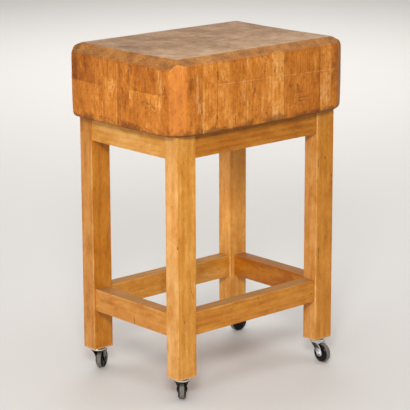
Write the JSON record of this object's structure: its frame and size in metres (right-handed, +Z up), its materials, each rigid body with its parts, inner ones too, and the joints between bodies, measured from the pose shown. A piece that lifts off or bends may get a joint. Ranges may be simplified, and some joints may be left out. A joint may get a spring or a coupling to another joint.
{
  "type": "butcher block table",
  "caption": "Thick glued-up butcher block with bevelled top edges on a tall mortised wooden stand with stretchers, rolling on small swivel casters.",
  "frame": {"origin": "on the floor under the middle of the block", "axes": "+Z up, +X along the wide front face, +Y from the front to the back"},
  "size_m": [0.6, 0.436, 0.894],
  "materials": {
    "block_wood": "oiled, worn",
    "stand_wood": "satin varnish",
    "bright_plate": "bright zinc plate",
    "bare_steel": "plain steel",
    "wheel_plastic": "moulded",
    "tyre_rubber": "dusty grey rubber"
  },
  "bodies": {
    "table": {"block_row_1": "block_wood", "block_row_2": "block_wood", "block_row_3": "block_wood", "block_row_4": "block_wood", "block_row_5": "block_wood", "block_row_6": "block_wood", "block_row_7": "block_wood", "block_row_8": "block_wood", "leg_front_left": "stand_wood", "leg_front_right": "stand_wood", "leg_back_left": "stand_wood", "leg_back_right": "stand_wood", "apron_front": "stand_wood", "apron_back": "stand_wood", "apron_left": "stand_wood", "apron_right": "stand_wood", "stretcher_front": "stand_wood", "stretcher_back": "stand_wood", "stretcher_left": "stand_wood", "stretcher_right": "stand_wood", "caster_sockets": "bare_steel", "caster_stems": "bare_steel", "caster_crowns": "bright_plate", "caster_balls": "bare_steel"},
    "fork_front_left": {"caster_fork_front_left": "bright_plate", "caster_axle_front_left": "bright_plate"},
    "wheel_front_left": {"caster_wheel_front_left": "wheel_plastic", "caster_tyre_front_left": "tyre_rubber"},
    "fork_front_right": {"caster_fork_front_right": "bright_plate", "caster_axle_front_right": "bright_plate"},
    "wheel_front_right": {"caster_wheel_front_right": "wheel_plastic", "caster_tyre_front_right": "tyre_rubber"},
    "fork_back_left": {"caster_fork_back_left": "bright_plate", "caster_axle_back_left": "bright_plate"},
    "wheel_back_left": {"caster_wheel_back_left": "wheel_plastic", "caster_tyre_back_left": "tyre_rubber"},
    "fork_back_right": {"caster_fork_back_right": "bright_plate", "caster_axle_back_right": "bright_plate"},
    "wheel_back_right": {"caster_wheel_back_right": "wheel_plastic", "caster_tyre_back_right": "tyre_rubber"}
  },
  "joints": [
    {"name": "swivel_front_left", "type": "hinge", "parent": "table", "child": "fork_front_left", "pos_m": [-0.245, -0.17, 0.066], "axis": [0, 0, 1], "continuous": true},
    {"name": "roll_front_left", "type": "hinge", "parent": "fork_front_left", "child": "wheel_front_left", "pos_m": [-0.23095, -0.15439, 0.0255], "axis": [-0.7431, 0.6691, 0], "continuous": true},
    {"name": "swivel_front_right", "type": "hinge", "parent": "table", "child": "fork_front_right", "pos_m": [0.245, -0.17, 0.066], "axis": [0, 0, 1], "continuous": true},
    {"name": "roll_front_right", "type": "hinge", "parent": "fork_front_right", "child": "wheel_front_right", "pos_m": [0.245, -0.191, 0.0255], "axis": [1, 0, 0], "continuous": true},
    {"name": "swivel_back_left", "type": "hinge", "parent": "table", "child": "fork_back_left", "pos_m": [-0.245, 0.17, 0.066], "axis": [0, 0, 1], "continuous": true},
    {"name": "roll_back_left", "type": "hinge", "parent": "fork_back_left", "child": "wheel_back_left", "pos_m": [-0.227, 0.18082, 0.0255], "axis": [-0.515, 0.8572, 0], "continuous": true},
    {"name": "swivel_back_right", "type": "hinge", "parent": "table", "child": "fork_back_right", "pos_m": [0.245, 0.17, 0.066], "axis": [0, 0, 1], "continuous": true},
    {"name": "roll_back_right", "type": "hinge", "parent": "fork_back_right", "child": "wheel_back_right", "pos_m": [0.26592, 0.16817, 0.0255], "axis": [0.0872, 0.9962, 0], "continuous": true}
  ]
}
